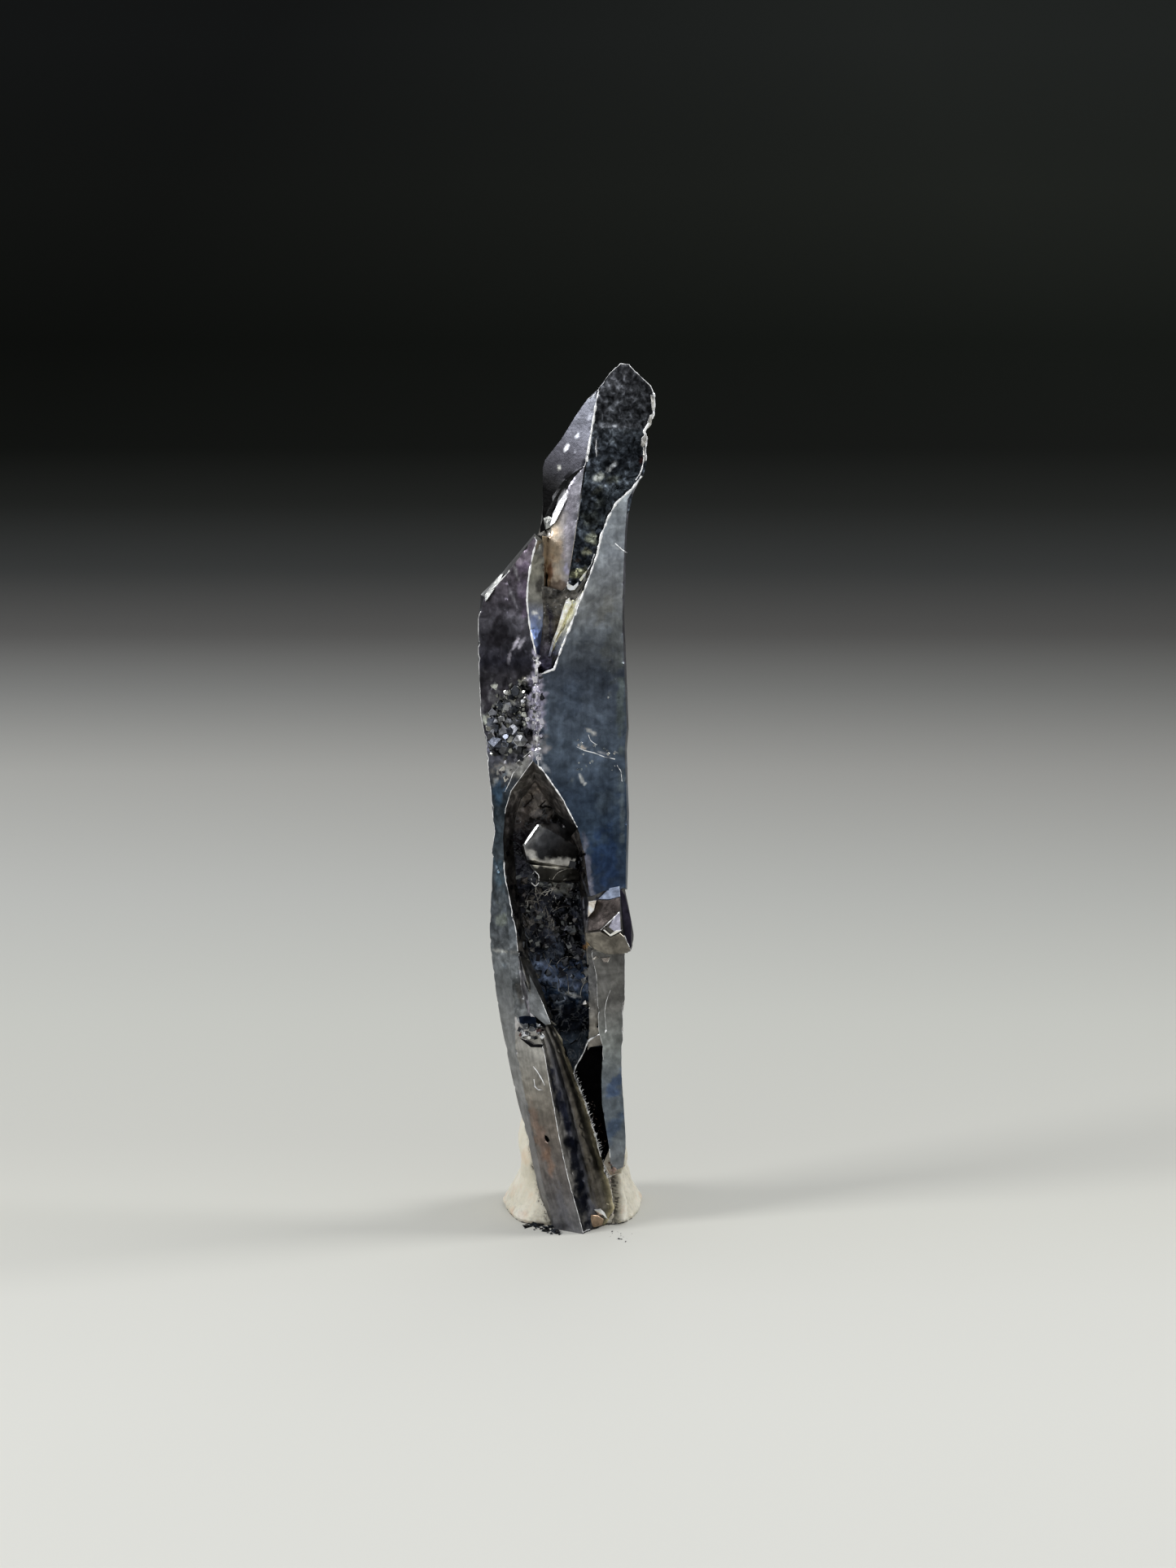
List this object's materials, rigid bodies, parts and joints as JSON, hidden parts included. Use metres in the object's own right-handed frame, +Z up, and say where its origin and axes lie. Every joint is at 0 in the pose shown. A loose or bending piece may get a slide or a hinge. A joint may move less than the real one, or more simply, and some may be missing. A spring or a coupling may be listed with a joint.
{
  "type": "galena crystal",
  "caption": "Tall group of flat lead-grey galena laths with a thin leaning tip and a long hopper, standing on end in a wad of white putty.",
  "frame": {"origin": "on the crystal's flat foot, on the surface it stands on", "axes": "+Z up, along the laths; +X to the right seen from the front faces; +Y from the front faces towards the putty behind them"},
  "size_m": [0.0086, 0.0091, 0.0425],
  "materials": {
    "galena": "metallic lustre with a thin blue, violet and tan tarnish",
    "putty": "matte, smooth, pressed by hand"
  },
  "bodies": {
    "root": {"galena_crystal": "galena", "mounting_putty": "putty"}
  },
  "joints": []
}
